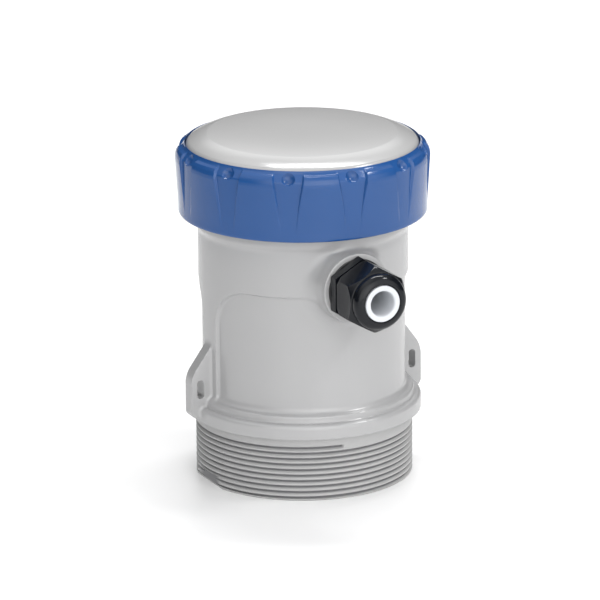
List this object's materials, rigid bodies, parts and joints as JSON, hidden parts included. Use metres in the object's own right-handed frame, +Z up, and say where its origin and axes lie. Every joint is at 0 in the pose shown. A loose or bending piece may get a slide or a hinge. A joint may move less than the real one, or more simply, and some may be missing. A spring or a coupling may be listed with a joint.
{
  "type": "radar level transmitter",
  "caption": "Compact radar level transmitter with a threaded antenna stub, slotted ears, a side cable gland and a lid held by a screwed union ring.",
  "frame": {"origin": "centre of the closed antenna face at the bottom of the threaded stub", "axes": "+Z up along the housing axis towards the lid, -Y along the cable gland towards its mouth, the two slotted ears lie on +X and -X"},
  "size_m": [0.103, 0.1243, 0.142],
  "materials": {
    "housing_plastic": "satin light grey",
    "connection_plastic": "matt light grey",
    "ring_plastic": "satin blue",
    "lid_plastic": "satin light grey",
    "seal_rubber": "matt black",
    "gland_plastic": "glossy black",
    "insert_rubber": "soft white",
    "lens_plastic": "smooth white",
    "horn_metal": "turned",
    "spring_steel": "blued",
    "board_laminate": "green varnish",
    "screw_steel": "zinc plated",
    "can_metal": "tinned",
    "header_plastic": "matt black",
    "spacer_brass": "turned",
    "component_plastic": "matt black",
    "carrier_plastic": "matt dark grey",
    "terminal_plastic": "matt dark green"
  },
  "bodies": {
    "housing_group": {"housing": "housing_plastic", "process_connection": "connection_plastic", "connection_seal": "seal_rubber", "gland_body": "gland_plastic", "gland_washer": "seal_rubber", "antenna_lens": "lens_plastic", "antenna_horn": "horn_metal", "horn_circlip": "spring_steel", "radar_board": "board_laminate", "radar_board_screws": "screw_steel", "screening_can": "can_metal", "board_link": "header_plastic", "main_board": "board_laminate", "main_board_screws": "screw_steel", "board_spacers": "spacer_brass", "board_parts": "component_plastic", "carrier_plate": "carrier_plastic", "carrier_screws": "screw_steel", "terminal_block": "terminal_plastic", "terminal_screws": "screw_steel"},
    "lid_group": {"lid": "lid_plastic", "lid_seal": "seal_rubber"},
    "ring": {"screw_ring": "ring_plastic"},
    "insert": {"gland_insert": "insert_rubber"},
    "nut": {"gland_nut": "gland_plastic"}
  },
  "joints": [
    {"name": "lid_lift", "type": "slide", "parent": "housing_group", "child": "lid_group", "axis": [0, 0, 1], "range_m": [0, 0.006]},
    {"name": "ring_turn", "type": "hinge", "parent": "lid_group", "child": "ring", "pos_m": [0, 0, 0.1235], "axis": [0, 0, 1], "range_deg": [0, 540]},
    {"name": "seal_draw", "type": "slide", "parent": "housing_group", "child": "insert", "axis": [0, -1, 0], "range_m": [0, 0.003]},
    {"name": "nut_turn", "type": "hinge", "parent": "insert", "child": "nut", "pos_m": [0, -0.062, 0.0888], "axis": [0, -1, 0], "range_deg": [0, 720]}
  ],
  "couplings": [
    {"joint": "lid_lift", "follows": "ring_turn", "m_per_rad": 0.00063662},
    {"joint": "seal_draw", "follows": "nut_turn", "m_per_rad": 0.00023873}
  ]
}
